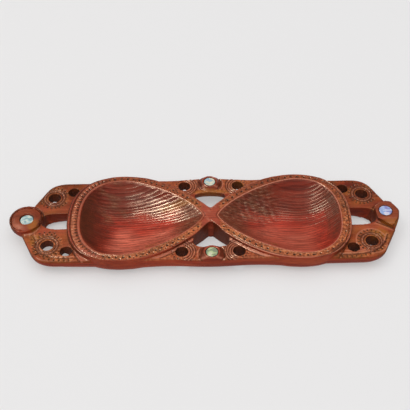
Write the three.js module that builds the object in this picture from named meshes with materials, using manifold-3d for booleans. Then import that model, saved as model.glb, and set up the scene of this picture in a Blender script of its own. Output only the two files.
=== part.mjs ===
// Carved wooden serving tray: one board with two teardrop bowls whose rims cross in the middle,
// a pierced wing and a knob at each end, a pierced frame on both sides of the crossing, and four
// round shell discs bedded in dark filler.
//
// X runs along the tray, Y from front to back, Z up, in millimetres. The tray is drawn about the
// crossing of its rims, and the finished group is moved so that its length is centred on x = 0.
import * as THREE from 'three';
import { mergeVertices } from 'three/addons/utils/BufferGeometryUtils.js';
import Module from 'manifold-3d';

const wasm = await Module();
wasm.setup();

// Bowls. Each hollow is a teardrop that points at the crossing.
const hollowTip = 8.3;
const hollowWidest = 95;
const hollowEnd = 140.8;
const hollowHalfWidth = 53;
const floorThickness = 5.2;
const rimTop = 25;
const rimSideWidth = 8.3;
const rimEndWidth = { left: 14.4, right: 11.4 };
const rimCrossing = 17.3;
const rimBevel = 0.9;

// Wings and knobs at the two ends
const wingTop = 18.6;
const wingSetback = 3.9;
const wingCorner = { run: 23, drop: 13.4, pull: 6 };
const wingSlant = 13;
const wingTipRun = { left: 16.8, right: 17.2 };
const wingSkew = { left: 3.2, right: 1 };
const wingBevel = 1.8;
const largeHole = { diameter: 13.6, fromRim: 18.2, fromEdge: 23 };
const smallHole = { diameter: 12.6, fromRim: -2.5, fromEdge: 14.6 };
const knobTop = 24;
const knobLength = { left: 34.5, right: 26 };
const knobHalfWidth = { left: 18.4, right: 19.2 };
const knobBevel = 1.8;
const endOpeningLength = 28;
const endOpeningBack = { left: 10.6, right: 13.2 };
const endOpeningFront = { left: 12, right: 11.4 };
const endOpeningCorner = { back: 4.5, front: 3, below: 2 };

// Frame in front of and behind the crossing
const frameTop = 21;
const frameSetback = 3.8;
const frameBulge = 2.6;
const frameWaist = 50;
const frameBevel = 1.4;
const frameHole = { diameter: 13.2, spacing: 60, stagger: 1.3, fromEdge: 13.7 };
const sideOpeningHalfWidth = { front: 19, back: 16.5 };
const sideOpeningShoulder = { front: 36, back: 33 };
const sideOpeningDepth = { front: 42, back: 37.6 };
const sideOpeningBow = 0.9;
const bossTop = 24.9;
const bossRadius = 8.9;
const bossBevel = 0.5;
const bossDraft = 0.2;
const bossFlare = 4;

// Underside. Only the flat bottoms of the bowls touch the table: the wings, the knobs and the
// frame rise clear of it, and every lower edge is rounded, round the openings too.
const edgeRoundHeight = 15;
const edgeRoundInset = 13;
const endLift = { left: 9.5, right: 6 };
const endLiftStart = 125;
const endLiftPower = 1.5;
const frameLift = { front: 1.5, back: 8 };
const frameLiftReach = 62;
const openingRoundHeight = 12;
const sideOpeningFlare = { front: 7, back: 9 };
const endOpeningFlare = { along: -4, across: 3.5 };

// Where the outer edges of the two rims meet at the crossing, their corner is cut to a narrow arch
// in front and filled with a soft curve behind.
const frontArch = { apex: 8.7, slope: 1.25, roundness: 3 };
const backCorner = { roundness: 1.95, reach: 8 };

// The crossing stands on a round foot, and the left wing is cut thinner from below in its front
// half, so that the ground can be seen through its holes.
const crossingFoot = { radius: 10.4, height: 20 };
const thinned = { thickness: 10.3, fromRim: 0.8, fromEdge: 35.4, slope: 9 };

// Shell discs, each in a cup of filler in a drilled recess
const discDiameter = { end: 13.6, side: 12 };
const discThickness = 2;
const discEdge = 0.35;
const fillerFloor = 0.4;
const fillerWall = 0.4;
const discClearance = 0.2;
const discSink = { left: 1.4, right: 0.2, side: 0.4 };
const endDisc = { left: { along: 15.6, across: -1.4 }, right: { along: 10.8, across: 3.9 } };

// Plan shapes of the hollow and of the rim: a superellipse at the blunt end, a drawn-out curve
// from the widest place to the tip.
const bluntPower = 2.42;
const hollowTaper = { power: 1.5, sharpness: 0.75 };
const rimTaper = { power: 2, sharpness: 1 };
const hollowDish = 2.4;

// The right knob's plan, as shares of its length and of its half width
const rightKnobPlan = [
  [0, 0.46], [0.27, 0.84], [0.55, 1], [0.75, 0.93], [0.97, 0.4], [1, 0.2],
  [0.92, -0.3], [0.8, -0.68], [0.66, -1], [0.36, -0.68], [0.06, -0.3],
];
const knobPlanTension = 0.25;

// Facets of round shapes, and how far a cut runs past the face that it goes through
const roundFacets = 24;
const knobFacets = 40;
const teardropFacets = 14;
const hollowFacets = 7;
const cornerFacets = 12;
const edgeFacets = 5;
const liftFacets = 12;
const cutMargin = 1;
const weldDistance = 1e-5;

const boardHalfWidth = hollowHalfWidth + rimSideWidth;
const wingHalfWidth = boardHalfWidth - wingSetback;
const frameHalfWidth = boardHalfWidth - frameSetback;
const wall = {
  left: hollowEnd + rimEndWidth.left,
  right: hollowEnd + rimEndWidth.right,
};
const knobInner = {
  left: wall.left + endOpeningLength,
  right: wall.right + endOpeningLength,
};
const reach = {
  left: knobInner.left + knobLength.left,
  right: knobInner.right + knobLength.right,
};
const sign = { left: -1, right: 1, front: -1, back: 1 };

// The corner between the outer edges of the rims at the crossing: its place and its slope
const rimLength = hollowWidest - hollowTip + rimCrossing;
const rimShare = hollowWidest / rimLength;
const rimCorner = {
  apex: boardHalfWidth * (1 - rimShare ** rimTaper.power),
  slope: boardHalfWidth * rimTaper.power * rimShare ** (rimTaper.power - 1) / rimLength,
};
const ends = ['left', 'right'];
const sides = ['front', 'back'];

// A closed geometry as a solid for boolean work, and back again
function solid(geometry) {
  geometry.deleteAttribute('normal');
  geometry.deleteAttribute('uv');
  const merged = mergeVertices(geometry, weldDistance);
  return new wasm.Manifold(new wasm.Mesh({
    numProp: 3,
    vertProperties: new Float32Array(merged.attributes.position.array),
    triVerts: new Uint32Array(merged.index.array),
  }));
}

function geometryOf(body) {
  const mesh = body.getMesh();
  const geometry = new THREE.BufferGeometry();
  geometry.setAttribute('position', new THREE.BufferAttribute(mesh.vertProperties, 3));
  geometry.setIndex(new THREE.BufferAttribute(mesh.triVerts, 1));
  return geometry;
}

// A solid through plan outlines of equal count, listed from the lowest level to the highest.
// The height function can raise a point by its place.
function loft(levels, height = (x, z) => z) {
  const count = levels[0].points.length;
  const positions = [];
  const faces = [];
  for (const level of levels) {
    for (const point of level.points) {
      positions.push(point.x, point.y, height(point.x, level.z));
    }
  }
  for (let k = 0; k + 1 < levels.length; k++) {
    for (let i = 0; i < count; i++) {
      const a = k * count + i;
      const b = k * count + ((i + 1) % count);
      faces.push(a, b, b + count, a, b + count, a + count);
    }
  }
  for (const [a, b, c] of THREE.ShapeUtils.triangulateShape(levels[0].points, [])) {
    faces.push(c, b, a);
  }
  const last = levels.length - 1;
  for (const [a, b, c] of THREE.ShapeUtils.triangulateShape(levels[last].points, [])) {
    faces.push(last * count + a, last * count + b, last * count + c);
  }
  const geometry = new THREE.BufferGeometry();
  geometry.setAttribute('position', new THREE.Float32BufferAttribute(positions, 3));
  geometry.setIndex(faces);
  return solid(geometry);
}

// A straight cut or block with the given plan
function prism(points, low, high) {
  const geometry = new THREE.ExtrudeGeometry(new THREE.Shape(points), {
    depth: high - low,
    bevelEnabled: false,
  });
  geometry.translate(0, 0, low);
  return solid(geometry);
}

function circle(x, y, radius, count = roundFacets) {
  const points = [];
  for (let i = 0; i < count; i++) {
    const angle = (i / count) * 2 * Math.PI;
    points.push(new THREE.Vector2(x + radius * Math.cos(angle), y + radius * Math.sin(angle)));
  }
  return points;
}

// Outline points run anticlockwise, whichever end or side they are mirrored to
function mirrored(points, x, y) {
  const turned = points.map((point) => new THREE.Vector2(point.x * x, point.y * y));
  return x * y < 0 ? turned.reverse() : turned;
}

// Teardrop plan with its tip near the crossing, for the right bowl
function teardrop({ tip, widest, end, halfWidth, taper }, scale = 1) {
  const steps = teardropFacets;
  const half = [];
  for (let i = 0; i <= steps; i++) {
    const share = Math.sin((i / steps) * (Math.PI / 2));
    const width = halfWidth * (1 - share ** bluntPower) ** (1 / bluntPower);
    half.push(new THREE.Vector2(widest + (end - widest) * share, width));
  }
  half.reverse();
  for (let i = 1; i <= steps; i++) {
    const share = Math.sin((i / steps) * (Math.PI / 2));
    const width = halfWidth * (1 - share ** taper.power) ** taper.sharpness;
    half.push(new THREE.Vector2(widest + (tip - widest) * share, width));
  }
  const lower = half.slice(1, -1).reverse().map((point) => new THREE.Vector2(point.x, -point.y));
  return [...half, ...lower].map(
    (point) => new THREE.Vector2(widest + (point.x - widest) * scale, point.y * scale),
  );
}

// A block whose lower edge is rounded in towards its base and whose top edge is bevelled. Every
// outline is drawn in by the same share, so neighbouring blocks meet without a step.
function roundedBlock(points, top, bevel, end) {
  const drawnIn = (inset) => points.map((point) => new THREE.Vector2(
    point.x * (1 - inset / reach[end]),
    point.y * (1 - inset / boardHalfWidth),
  ));
  const levels = [];
  for (let i = 0; i <= edgeFacets; i++) {
    const angle = (i / edgeFacets) * (Math.PI / 2);
    levels.push({
      z: edgeRoundHeight * (1 - Math.cos(angle)),
      points: drawnIn(edgeRoundInset * (1 - Math.sin(angle))),
    });
  }
  levels.push({ z: top - bevel, points: drawnIn(0) });
  levels.push({ z: top, points: drawnIn(bevel) });
  return levels;
}

// The same block with its underside raised along X, as the rise function says, by a cut whose
// top has that curve. The rounded edge starts from the raised underside.
function raisedBlock(levels, rise, from, to) {
  const top = levels[levels.length - 1].z;
  const footing = { z: -cutMargin, points: levels[0].points };
  const body = loft([footing, ...levels], (x, z) => (z < 0 ? z : z + rise(x) * (1 - z / top)));
  const profile = [new THREE.Vector2(from, -2 * cutMargin)];
  for (let i = 0; i <= liftFacets; i++) {
    const x = from + (to - from) * (i / liftFacets);
    profile.push(new THREE.Vector2(x, rise(x)));
  }
  profile.push(new THREE.Vector2(to, -2 * cutMargin));
  const geometry = new THREE.ExtrudeGeometry(new THREE.Shape(profile), {
    depth: 4 * boardHalfWidth,
    bevelEnabled: false,
  });
  geometry.rotateX(Math.PI / 2);
  geometry.translate(0, 2 * boardHalfWidth, 0);
  return body.subtract(solid(geometry));
}

function endRise(end) {
  return (x) => {
    const share = Math.max(0, (Math.abs(x) - endLiftStart) / (reach[end] - endLiftStart));
    return endLift[end] * share ** endLiftPower;
  };
}

function frameRise(side) {
  return (x) => {
    const share = Math.min(1, Math.abs(x) / frameLiftReach);
    return frameLift[side] * (0.5 + 0.5 * Math.cos(Math.PI * share));
  };
}

// Wing: straight side, rounded corner and a slanted edge that runs into the knob
function wing(end) {
  const shape = new THREE.Shape();
  shape.moveTo(hollowWidest, -wingHalfWidth);
  for (const side of sides) {
    const tip = knobInner[end] + wingTipRun[end] - sign[side] * wingSkew[end];
    const corner = tip - wingSlant;
    const width = sign[side] * wingHalfWidth;
    const drop = sign[side] * wingCorner.drop;
    const pull = corner - wingCorner.pull;
    const along = corner - wingCorner.run;
    if (side === 'front') {
      shape.lineTo(along, width);
      shape.quadraticCurveTo(pull, width, corner, width - drop);
      shape.lineTo(tip, -knobHalfWidth[end]);
    } else {
      shape.lineTo(tip, knobHalfWidth[end]);
      shape.lineTo(corner, width - drop);
      shape.quadraticCurveTo(pull, width, along, width);
    }
  }
  shape.lineTo(hollowWidest, wingHalfWidth);
  const points = mirrored(shape.getPoints(8), sign[end], 1);
  return roundedBlock(points, wingTop, wingBevel, end);
}

function knob(end) {
  let points;
  if (end === 'left') {
    const radius = knobLength.left / 2;
    points = circle(-(knobInner.left + radius), 0, radius, knobFacets);
    points = points.map((point) => new THREE.Vector2(
      point.x,
      point.y * (knobHalfWidth.left / radius),
    ));
  } else {
    const corners = rightKnobPlan.map(([x, y]) => new THREE.Vector3(
      knobInner.right + x * knobLength.right,
      y * knobHalfWidth.right,
      0,
    ));
    const curve = new THREE.CatmullRomCurve3(corners, true, 'catmullrom', knobPlanTension);
    points = curve.getPoints(knobFacets).slice(0, -1).map((point) => new THREE.Vector2(point.x, point.y));
    if (THREE.ShapeUtils.isClockWise(points)) points.reverse();
  }
  return roundedBlock(points, knobTop, knobBevel, end);
}

// Frame between the bowls, one half on each side of the crossing. Its long edge swells out at
// the boss, draws in to a waist on each side of it and swells again where it meets the rims.
function frame(side) {
  const steps = 18;
  const frameReach = frameWaist * 1.5;
  const edge = [];
  for (let i = 0; i <= steps; i++) {
    const x = frameReach * (1 - (2 * i) / steps);
    const swell = frameBulge * (0.5 + 0.5 * Math.cos((x / frameWaist) * Math.PI));
    edge.push(new THREE.Vector2(x, frameHalfWidth + swell));
  }
  edge.push(new THREE.Vector2(-frameReach, 0), new THREE.Vector2(frameReach, 0));
  const levels = roundedBlock(mirrored(edge, 1, sign[side]), frameTop, frameBevel, 'right');
  return raisedBlock(levels, frameRise(side), -2 * frameReach, 2 * frameReach);
}

// A wing and its knob, with their common rise
function endBlock(end) {
  const rise = endRise(end);
  const from = sign[end] < 0 ? -2 * reach[end] : 0;
  const to = sign[end] < 0 ? 0 : 2 * reach[end];
  return raisedBlock(wing(end), rise, from, to).add(raisedBlock(knob(end), rise, from, to));
}

// A cut with straight walls above that curve out to another outline at its lower end
function flaredCut(above, below, low) {
  const steps = 4;
  const blend = (share) => above.map((point, i) => point.clone().lerp(below[i], share));
  const levels = [{ z: -cutMargin, points: below }];
  for (let i = 0; i <= steps; i++) {
    const angle = (i / steps) * (Math.PI / 2);
    levels.push({
      z: low + openingRoundHeight * (1 - Math.cos(angle)),
      points: blend(1 - Math.sin(angle)),
    });
  }
  levels.push({ z: rimTop + cutMargin, points: above });
  return loft(levels);
}

// Opening between the rim's end wall and the knob: square at its top edge, oval at its foot
function endOpening(end) {
  const outline = (corner, along, across) => {
    const points = [];
    for (let i = 0; i < roundFacets; i++) {
      const angle = (i / roundFacets) * 2 * Math.PI;
      const side = Math.sin(angle) < 0 ? 'front' : 'back';
      const width = side === 'front' ? endOpeningFront[end] : endOpeningBack[end];
      const share = (value) => Math.sign(value) * Math.abs(value) ** (2 / corner[side]);
      points.push(new THREE.Vector2(
        wall[end] + (endOpeningLength + along) * share(Math.cos(angle)),
        (width + across) * share(Math.sin(angle)),
      ));
    }
    return mirrored(points, sign[end], 1);
  };
  const oval = { front: endOpeningCorner.below, back: endOpeningCorner.below };
  return flaredCut(
    outline(endOpeningCorner, 0, 0),
    outline(oval, endOpeningFlare.along, endOpeningFlare.across),
    endRise(end)(wall[end] + endOpeningLength / 2),
  );
}

// Opening between the crossing and a boss, bounded by the rims
function sideOpening(side) {
  const width = sideOpeningHalfWidth[side];
  const shoulder = sideOpeningShoulder[side];
  const far = sideOpeningDepth[side];
  const shape = new THREE.Shape();
  shape.moveTo(-width, 0);
  shape.lineTo(width, 0);
  shape.lineTo(width, shoulder);
  shape.quadraticCurveTo(width * sideOpeningBow, far, 0, far);
  shape.quadraticCurveTo(-width * sideOpeningBow, far, -width, shoulder);
  const above = mirrored(shape.getPoints(6), 1, sign[side]);
  const spread = 1 + sideOpeningFlare[side] / far;
  const below = above.map((point) => point.clone().multiplyScalar(spread));
  return flaredCut(above, below, frameLift[side]);
}

// Places of the four discs. The side discs sit in the middle of their bosses.
const bossY = frameHalfWidth + frameBulge - bossRadius;
const discs = {
  left: {
    x: -(knobInner.left + endDisc.left.along),
    y: endDisc.left.across,
    top: knobTop - discSink.left,
    radius: discDiameter.end / 2,
  },
  right: {
    x: knobInner.right + endDisc.right.along,
    y: endDisc.right.across,
    top: knobTop - discSink.right,
    radius: discDiameter.end / 2,
  },
  front: { x: 0, y: -bossY, top: bossTop - discSink.side, radius: discDiameter.side / 2 },
  back: { x: 0, y: bossY, top: bossTop - discSink.side, radius: discDiameter.side / 2 },
};
const bedRadius = (disc) => disc.radius + discClearance + fillerWall;
const recessFloor = (disc) => disc.top - discThickness - fillerFloor;

// The cut below the front half of the left wing, with sloping inner sides
function wingUndercut() {
  const outer = boardHalfWidth + cutMargin;
  const outline = (spread) => {
    const from = wall.left + thinned.fromRim - spread;
    const inner = wingHalfWidth - thinned.fromEdge - spread;
    return mirrored([
      new THREE.Vector2(from, -outer),
      new THREE.Vector2(reach.left + cutMargin, -outer),
      new THREE.Vector2(reach.left + cutMargin, -inner),
      new THREE.Vector2(from, -inner),
    ], sign.left, 1);
  };
  return loft([
    { z: -cutMargin, points: outline(thinned.slope) },
    { z: wingTop - thinned.thickness, points: outline(0) },
  ]);
}

// Boss: a round seat for a disc on a flared foot that stays inside the frame's outline
function boss(side) {
  const { x, y } = discs[side];
  const seat = loft([
    { z: edgeRoundHeight, points: circle(x, y, bossRadius + bossDraft) },
    { z: bossTop - bossBevel, points: circle(x, y, bossRadius) },
    { z: bossTop, points: circle(x, y, bossRadius - bossBevel) },
  ]);
  const foot = loft([
    { z: edgeRoundHeight, points: circle(x, y, bossRadius + bossFlare) },
    { z: frameTop, points: circle(x, y, bossRadius + bossFlare) },
    { z: bossTop - 2 * bossBevel, points: circle(x, y, bossRadius) },
  ]);
  const edge = Math.abs(y) + bossRadius;
  const inside = prism(mirrored([
    new THREE.Vector2(-frameWaist, 0),
    new THREE.Vector2(frameWaist, 0),
    new THREE.Vector2(frameWaist, edge),
    new THREE.Vector2(-frameWaist, edge),
  ], 1, sign[side]), 0, bossTop);
  return seat.add(foot.intersect(inside));
}

// A dish whose floor runs up to the rim in one slow curve
function hollow(end) {
  const plan = {
    tip: hollowTip,
    widest: hollowWidest,
    end: hollowEnd,
    halfWidth: hollowHalfWidth,
    taper: hollowTaper,
  };
  const depth = rimTop - floorThickness;
  const levels = [];
  for (let i = 1; i <= hollowFacets; i++) {
    const scale = i / hollowFacets;
    levels.push({
      z: rimTop - depth * (1 - scale ** hollowDish),
      points: mirrored(teardrop(plan, scale), sign[end], 1),
    });
  }
  levels.push({ z: rimTop + cutMargin, points: levels[hollowFacets - 1].points });
  return loft(levels);
}

function rim(end) {
  const plan = {
    tip: hollowTip - rimCrossing,
    widest: hollowWidest,
    end: wall[end],
    halfWidth: boardHalfWidth,
    taper: rimTaper,
  };
  return loft(roundedBlock(mirrored(teardrop(plan), sign[end], 1), rimTop, rimBevel, end));
}

// Curve in plan that runs out on both sides of the crossing like a corner with a round point
function roundedCorner({ apex, slope, roundness, offset = 0 }, halfWidth, direction) {
  const points = [];
  for (let i = 0; i <= cornerFacets; i++) {
    const x = halfWidth * ((2 * i) / cornerFacets - 1);
    points.push(new THREE.Vector2(x, direction * (apex + Math.hypot(slope * x, roundness) - offset)));
  }
  return points;
}

function frontArchCut() {
  const width = sideOpeningHalfWidth.front;
  const outline = roundedCorner({ ...frontArch, offset: frontArch.roundness }, width, -1);
  outline.push(new THREE.Vector2(width, -sideOpeningShoulder.front));
  outline.push(new THREE.Vector2(-width, -sideOpeningShoulder.front));
  return prism(outline.reverse(), -cutMargin, rimTop + cutMargin);
}

function backCornerFill() {
  const outline = roundedCorner({ ...rimCorner, ...backCorner }, backCorner.reach, 1);
  outline.push(new THREE.Vector2(backCorner.reach, 0), new THREE.Vector2(-backCorner.reach, 0));
  return prism(outline.reverse(), 0, rimTop - rimBevel);
}

const drill = (x, y, diameter) => (
  prism(circle(x, y, diameter / 2), -cutMargin, rimTop + cutMargin)
);

// Holes: a large and a small one in each half of a wing, one on each side of a boss
function drilledHoles() {
  const holes = [];
  for (const side of sides) {
    for (const end of ends) {
      for (const hole of [largeHole, smallHole]) {
        const x = sign[end] * (wall[end] + hole.fromRim);
        const y = sign[side] * (wingHalfWidth - hole.fromEdge);
        holes.push(drill(x, y, hole.diameter));
      }
      const x = sign[end] * (frameHole.spacing / 2) + sign[side] * frameHole.stagger;
      const y = sign[side] * (boardHalfWidth - frameHole.fromEdge);
      holes.push(drill(x, y, frameHole.diameter));
    }
  }
  return holes;
}

function carvedBoard() {
  let body = frame('front').add(frame('back'));
  body = body.add(endBlock('left').subtract(wingUndercut())).add(endBlock('right'));
  for (const side of sides) body = body.add(boss(side));
  for (const end of ends) body = body.subtract(endOpening(end));
  for (const side of sides) body = body.subtract(sideOpening(side));
  for (const end of ends) body = body.add(rim(end));
  body = body.add(backCornerFill()).subtract(frontArchCut());
  body = body.add(prism(circle(0, 0, crossingFoot.radius), 0, crossingFoot.height));
  for (const end of ends) body = body.subtract(hollow(end));
  for (const hole of drilledHoles()) body = body.subtract(hole);
  for (const disc of Object.values(discs)) {
    const recess = circle(disc.x, disc.y, bedRadius(disc) + discClearance);
    body = body.subtract(prism(recess, recessFloor(disc), rimTop + cutMargin));
  }
  return geometryOf(body);
}

// A disc with a softened upper edge, lying on the floor of its filler
function shellDisc(disc) {
  const low = disc.top - discThickness;
  return geometryOf(loft([
    { z: low, points: circle(disc.x, disc.y, disc.radius) },
    { z: disc.top - discEdge, points: circle(disc.x, disc.y, disc.radius) },
    { z: disc.top, points: circle(disc.x, disc.y, disc.radius - discEdge) },
  ]));
}

// Filler: a thin cup between the disc and its recess
function glueBed(disc) {
  const floor = recessFloor(disc);
  const cup = prism(circle(disc.x, disc.y, bedRadius(disc)), floor, disc.top - discEdge);
  const bore = circle(disc.x, disc.y, disc.radius + discClearance);
  return geometryOf(cup.subtract(prism(bore, floor + fillerFloor, disc.top)));
}

const wood = new THREE.MeshStandardMaterial({ color: 0x8f4a2c, roughness: 0.35 });
const shell = new THREE.MeshStandardMaterial({ color: 0xb9dcd6, roughness: 0.18 });
const filler = new THREE.MeshStandardMaterial({ color: 0x2a1a14, roughness: 0.6 });

function named(name, geometry, material) {
  const mesh = new THREE.Mesh(geometry, material);
  mesh.name = name;
  return mesh;
}

const group = new THREE.Group();
group.add(named('carved_board', carvedBoard(), wood));
for (const [place, disc] of Object.entries(discs)) {
  group.add(named(`shell_disc_${place}`, shellDisc(disc), shell));
  group.add(named(`glue_bed_${place}`, glueBed(disc), filler));
}
group.position.x = (reach.left - reach.right) / 2;

export default group;
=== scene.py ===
import math

import bpy
import numpy as np
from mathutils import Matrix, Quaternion, Vector


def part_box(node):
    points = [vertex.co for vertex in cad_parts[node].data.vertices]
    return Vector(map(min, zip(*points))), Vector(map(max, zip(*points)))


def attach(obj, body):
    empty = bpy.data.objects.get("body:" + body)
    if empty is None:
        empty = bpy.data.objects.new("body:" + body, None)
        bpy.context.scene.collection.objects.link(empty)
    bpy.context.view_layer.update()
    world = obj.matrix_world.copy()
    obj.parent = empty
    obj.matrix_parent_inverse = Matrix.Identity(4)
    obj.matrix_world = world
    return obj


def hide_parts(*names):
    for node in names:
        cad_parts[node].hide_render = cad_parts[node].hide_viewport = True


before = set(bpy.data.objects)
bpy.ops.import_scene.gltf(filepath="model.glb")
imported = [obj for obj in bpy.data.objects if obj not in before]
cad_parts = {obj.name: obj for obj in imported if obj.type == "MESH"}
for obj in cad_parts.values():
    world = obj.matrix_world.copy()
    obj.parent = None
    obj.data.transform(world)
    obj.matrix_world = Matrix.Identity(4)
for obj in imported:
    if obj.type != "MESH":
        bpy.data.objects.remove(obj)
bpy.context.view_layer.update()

# Photographer's view: a long lens from above the front edge, looking down at 47 degrees. It aims
# at the back half of the tray, which so lies a little below the middle of the picture.
MM = 0.001
VIEW_TARGET = Vector((0.35, 37.83, 0)) * MM
VIEW_DISTANCE = 841.2 * MM
VIEW_TURN = math.radians(-1.14)
VIEW_RISE = math.radians(47)
back = Vector((
    math.sin(VIEW_TURN) * math.cos(VIEW_RISE),
    -math.cos(VIEW_TURN) * math.cos(VIEW_RISE),
    math.sin(VIEW_RISE),
))
bpy.ops.object.select_all(action="DESELECT")
bpy.ops.object.camera_add(
    location=VIEW_TARGET + back * VIEW_DISTANCE,
    rotation=(math.pi / 2 - VIEW_RISE, 0, VIEW_TURN),
)
camera = bpy.context.object
camera.data.lens = 64.65
camera.data.sensor_width = 36
camera.data.clip_start = 0.05
bpy.context.scene.camera = camera


# Board: the tray itself, carved from one piece of reddish-brown hardwood. Its solid is copied, and
# every edge is softened as sanding and lacquer soften it, before the gouge marks and the borders
# are cut into the copy.
VOXEL = 0.6 * MM
SANDING = 5
MERGE = 0.001 * MM


def apply_modifier(piece, kind, **settings):
    bpy.ops.object.select_all(action="DESELECT")
    piece.select_set(True)
    bpy.context.view_layer.objects.active = piece
    modifier = piece.modifiers.new(kind, kind)
    for name, value in settings.items():
        setattr(modifier, name, value)
    bpy.ops.object.modifier_apply(modifier=modifier.name)


def copy_of_node(node, name):
    piece = bpy.data.objects.new(name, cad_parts[node].data.copy())
    bpy.context.scene.collection.objects.link(piece)
    bpy.ops.object.select_all(action="DESELECT")
    piece.select_set(True)
    bpy.context.view_layer.objects.active = piece
    bpy.ops.object.mode_set(mode="EDIT")
    bpy.ops.mesh.select_all(action="SELECT")
    bpy.ops.mesh.remove_doubles(threshold=MERGE)
    bpy.ops.object.mode_set(mode="OBJECT")
    return piece


board = copy_of_node("carved_board", "board")
apply_modifier(board, "REMESH", mode="VOXEL", voxel_size=VOXEL)
apply_modifier(board, "SMOOTH", factor=0.5, iterations=SANDING)

# The carver works from above, so each cut is a depth in millimetres at a place in plan. relief
# holds the depths, and the wax layer the dark polish left in a cut, together with painted shade at
# the flute crests, on sloping edges, in the seam below the rims and on the walls of holes. finish
# says, from 0 to 1, how the surface is worked (gouged bowl, punched border, left smooth, worn
# lighter or painted with a highlight on a ridge), how its wood looks (pale, deep or tan; in the
# bowls pale is painted light and deep painted shade) and where the lacquer is dull. Its row_along
# counts the dots of the nearest row, and its row_across is the distance from that row.
KINDS = ("row_along", "bowl", "border", "smooth", "wear_and_highlight", "pale", "deep", "tan", "dull")
NO_ROW = 9
KNIFE_REACHES = 0.35
LOWEST_TOP = 12
WAVES = 6
count = len(board.data.vertices)
place = np.empty(count * 3, np.float32)
facing = np.empty(count * 3, np.float32)
board.data.vertices.foreach_get("co", place)
board.data.vertices.foreach_get("normal", facing)
place = place.reshape(-1, 3).astype(float) / MM
facing = facing.reshape(-1, 3).astype(float)
plan = place[:, :2]
height = place[:, 2]
relief = np.zeros(count)
wax_and_shade = np.zeros(count)
finish = {kind: np.zeros(count) for kind in KINDS}
finish["row_across"] = np.full(count, NO_ROW, float)
top_side = (facing[:, 2] > KNIFE_REACHES) & (height > LOWEST_TOP)
by_x = np.argsort(plan[:, 0])
sorted_x = plan[by_x, 0]


# A smooth rise from 0 at low to 1 at high, or a fall where low is the larger
def ramp(low, high, value):
    share = np.clip((value - low) / (high - low), 0, 1)
    return share * share * (3 - 2 * share)


# An irregular wander, mostly between -1 and 1, that changes over about the given length
def wander(points, length, seed):
    chance = np.random.default_rng(seed)
    total = np.zeros(len(points))
    for _ in range(WAVES):
        angle = chance.uniform(0, 2 * math.pi)
        wave = 2 * math.pi / (length * chance.uniform(0.7, 1.5))
        direction = np.array((math.cos(angle), math.sin(angle)))
        total += np.sin(points @ direction * wave + chance.uniform(0, 2 * math.pi))
    return total / 3.5


# The board's points between two places along its length
def near_in_x(low, high):
    first, last = np.searchsorted(sorted_x, (low, high))
    return by_x[first:last]


# Bowls: two teardrops hollowed out of the board with a gouge. Its strokes lie side by side along
# the grain, from rim to rim. A teardrop's tip, widest place and end are measured from the
# crossing, half is half its width, and power and sharp shape its tip, as BLUNT does its end.
CROSSING_X = 5.75
HOLLOW = {"tip": 8.3, "widest": 95, "end": 140.8, "half": 53, "power": 1.5, "sharp": 0.75}
RIM = {"tip": -9, "widest": 95, "half": 61.3, "power": 2, "sharp": 1}
RIM_END = {"left": 155.2, "right": 152.2}
RIM_REACH = (-12, 158)
BLUNT = 2.42
OUTLINE_STEPS = 40
SIGN = {"left": -1, "right": 1}
ROW = 4.05


def teardrop(side, tip, widest, end, half, power, sharp):
    share = np.sin(np.linspace(0, math.pi / 2, OUTLINE_STEPS))
    blunt_x = widest + (end - widest) * share[::-1]
    blunt_y = half * (1 - share[::-1] ** BLUNT) ** (1 / BLUNT)
    sharp_x = widest + (tip - widest) * share[1:]
    sharp_y = half * (1 - share[1:] ** power) ** sharp
    x = np.concatenate([blunt_x, sharp_x])
    y = np.concatenate([blunt_y, sharp_y])
    outline = np.column_stack([np.concatenate([x, x[-2:0:-1]]), np.concatenate([y, -y[-2:0:-1]])])
    return outline * (SIGN[side], 1) + (CROSSING_X, 0)


# Distance in plan from each point to a path, and how far along it the nearest place is
def along_path(points, path):
    best = np.full(len(points), np.inf)
    along = np.zeros(len(points))
    travelled = 0
    for a, b in zip(path, path[1:]):
        step = b - a
        length = math.hypot(*step)
        t = np.clip((points - a) @ step / length**2, 0, 1)
        distance = np.hypot(*(points - a - t[:, None] * step).T)
        nearer = distance < best
        best[nearer] = distance[nearer]
        along[nearer] = travelled + t[nearer] * length
        travelled += length
    return best, along


def along_outline(points, outline):
    return along_path(points, np.vstack([outline, outline[:1]]))


def distance_to(points, path):
    return along_path(points, path)[0]


def inside(points, outline):
    odd = np.zeros(len(points), bool)
    x, y = points.T
    for (x1, y1), (x2, y2) in zip(outline, np.roll(outline, -1, axis=0)):
        crosses = (y1 > y) != (y2 > y)
        odd ^= crosses & (x < (x2 - x1) * (y - y1) / (y2 - y1 + 1e-12) + x1)
    return odd


# Hollow flutes side by side, with a narrow crest between them. Each one has its own depth, which
# changes slowly along it.
def flutes(rows, travel, depth, seed):
    chance = np.random.default_rng(seed)
    index = np.floor(rows).astype(int)
    index -= index.min()
    phase = chance.uniform(0, 2 * math.pi, (3, index.max() + 1))
    across = rows - np.floor(rows) - 0.5
    own = 0.8 + 0.25 * np.sin(travel / 15 + phase[0, index])
    lift = 0.10 * np.sin(travel / 19 + phase[1, index])
    crest = ramp(0.26, 0.46, np.abs(across)) * (0.7 + 0.3 * np.sin(travel / 11 + phase[2, index]))
    return depth * own * (1 - np.abs(2 * across) ** 3) + lift, crest


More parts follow.
